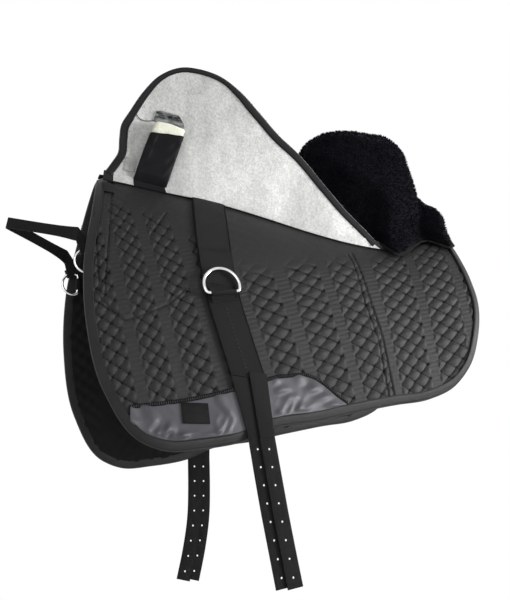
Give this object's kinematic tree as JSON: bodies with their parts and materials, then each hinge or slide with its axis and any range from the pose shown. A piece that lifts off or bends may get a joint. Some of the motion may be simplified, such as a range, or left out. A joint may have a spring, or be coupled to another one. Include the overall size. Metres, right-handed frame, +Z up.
{
  "type": "bareback pad",
  "caption": "Quilted bareback riding pad with a girth web, punched billets, and a fleece seat whose wings lift over thigh blocks.",
  "frame": {"origin": "underside of the lining on the spine over the girth web, where the pad rests on the horse's back", "axes": "+X to the horse's tail, +Y to the far side, +Z up"},
  "size_m": [0.8362, 0.3705, 0.8889],
  "materials": {
    "binding": "folded tape, black",
    "chrome": "polished",
    "fleece": "deep fleece, black",
    "foam": "dense foam, cream",
    "label": "woven, plain black",
    "lining": "woven, black",
    "pocket": "smooth cloth, black",
    "quilt": "quilted polyester, black",
    "satin": "slippery satin, dark grey",
    "suede": "flesh side, grey",
    "wadding": "polyester wadding, white",
    "webbing": "woven web, black"
  },
  "bodies": {
    "pad": {"blank_label": "label", "cantle_foam": "foam", "far_edge_binding": "binding", "far_front_billet_root": "webbing", "far_front_keeper": "webbing", "far_hook_tape": "binding", "far_lining": "lining", "far_outer_cloth": "quilt", "far_rear_billet_root": "webbing", "far_ring_keeper": "webbing", "far_under_pile": "fleece", "far_wadding": "wadding", "far_wear_patch": "satin", "girth_web": "webbing", "near_edge_binding": "binding", "near_front_billet_root": "webbing", "near_front_keeper": "webbing", "near_hook_tape": "binding", "near_lining": "lining", "near_outer_cloth": "quilt", "near_rear_billet_root": "webbing", "near_ring_keeper": "webbing", "near_under_pile": "fleece", "near_wadding": "wadding", "near_wear_patch": "satin", "seat_hide": "suede", "seat_pile": "fleece", "spine_tape": "binding"},
    "near_wing": {"near_wing_hide": "suede", "near_wing_binding": "binding", "near_wing_pile": "fleece", "near_loop_tape": "binding", "near_block_pocket": "pocket"},
    "near_thigh_block": {"near_thigh_block": "foam"},
    "near_pocket_flap": {"near_pocket_flap": "pocket"},
    "near_d_ring": {"near_d_ring": "chrome"},
    "near_front_ring": {"near_front_ring": "chrome"},
    "near_front_billet": {"near_front_billet": "webbing"},
    "near_rear_billet": {"near_rear_billet": "webbing"},
    "far_wing": {"far_wing_hide": "suede", "far_wing_binding": "binding", "far_wing_pile": "fleece", "far_loop_tape": "binding", "far_block_pocket": "pocket"},
    "far_thigh_block": {"far_thigh_block": "foam"},
    "far_pocket_flap": {"far_pocket_flap": "pocket"},
    "far_d_ring": {"far_d_ring": "chrome"},
    "far_front_ring": {"far_front_ring": "chrome"},
    "far_front_billet": {"far_front_billet": "webbing"},
    "far_rear_billet": {"far_rear_billet": "webbing"},
    "grab_strap": {"grab_strap": "webbing"}
  },
  "joints": [
    {"name": "near_wing_lift", "type": "hinge", "parent": "pad", "child": "near_wing", "pos_m": [-0.196, -0.02501, 0.02806], "axis": [-0.9861, 0.0527, 0.1574], "range_deg": [-122, 0]},
    {"name": "near_block_pull", "type": "hinge", "parent": "near_wing", "child": "near_thigh_block", "pos_m": [-0.11575, -0.4052, 0.04185], "axis": [0.9861, -0.0527, -0.1574], "range_deg": [0, 16]},
    {"name": "near_flap_fold", "type": "hinge", "parent": "near_wing", "child": "near_pocket_flap", "pos_m": [-0.0824, -0.04113, 0.1289], "axis": [-0.9861, 0.0527, 0.1574], "range_deg": [-85, 0]},
    {"name": "near_d_ring_drop", "type": "hinge", "parent": "pad", "child": "near_d_ring", "pos_m": [-0.0035, -0.12787, -0.1967], "axis": [0.9863, 0.0408, 0.1599], "range_deg": [0, 150]},
    {"name": "near_front_ring_turn", "type": "hinge", "parent": "pad", "child": "near_front_ring", "pos_m": [-0.2125, -0.073, -0.149], "axis": [0, 0, 1], "range_deg": [-3, 3]},
    {"name": "near_front_billet_swing", "type": "hinge", "parent": "pad", "child": "near_front_billet", "pos_m": [0.036, -0.17376, -0.43637], "axis": [-1, 0, 0], "range_deg": [-40, 0]},
    {"name": "near_rear_billet_swing", "type": "hinge", "parent": "pad", "child": "near_rear_billet", "pos_m": [0.054, -0.17606, -0.43592], "axis": [-1, 0, 0], "range_deg": [0, 85]},
    {"name": "far_wing_lift", "type": "hinge", "parent": "pad", "child": "far_wing", "pos_m": [-0.196, 0.02501, 0.02806], "axis": [-0.9861, -0.0527, 0.1574], "range_deg": [-80, 0]},
    {"name": "far_block_pull", "type": "hinge", "parent": "far_wing", "child": "far_thigh_block", "pos_m": [-0.14354, -0.14639, -0.31697], "axis": [-0.9861, -0.0527, 0.1574], "range_deg": [0, 16]},
    {"name": "far_flap_fold", "type": "hinge", "parent": "far_wing", "child": "far_pocket_flap", "pos_m": [-0.11651, 0.12379, -0.05714], "axis": [0.9861, 0.0527, -0.1574], "range_deg": [-85, 0]},
    {"name": "far_d_ring_drop", "type": "hinge", "parent": "pad", "child": "far_d_ring", "pos_m": [-0.0035, 0.12787, -0.1967], "axis": [-0.9863, 0.0408, -0.1599], "range_deg": [0, 150]},
    {"name": "far_front_ring_turn", "type": "hinge", "parent": "pad", "child": "far_front_ring", "pos_m": [-0.2125, 0.073, -0.149], "axis": [0, 0, 1], "range_deg": [-3, 3]},
    {"name": "far_front_billet_swing", "type": "hinge", "parent": "pad", "child": "far_front_billet", "pos_m": [0.036, 0.17376, -0.43637], "axis": [1, 0, 0], "range_deg": [-40, 0]},
    {"name": "far_rear_billet_swing", "type": "hinge", "parent": "pad", "child": "far_rear_billet", "pos_m": [0.054, 0.17606, -0.43592], "axis": [1, 0, 0], "range_deg": [0, 85]},
    {"name": "grab_strap_tilt", "type": "hinge", "parent": "pad", "child": "grab_strap", "pos_m": [-0.2205, 0, -0.149], "axis": [0, 1, 0], "range_deg": [-25, 10]}
  ]
}
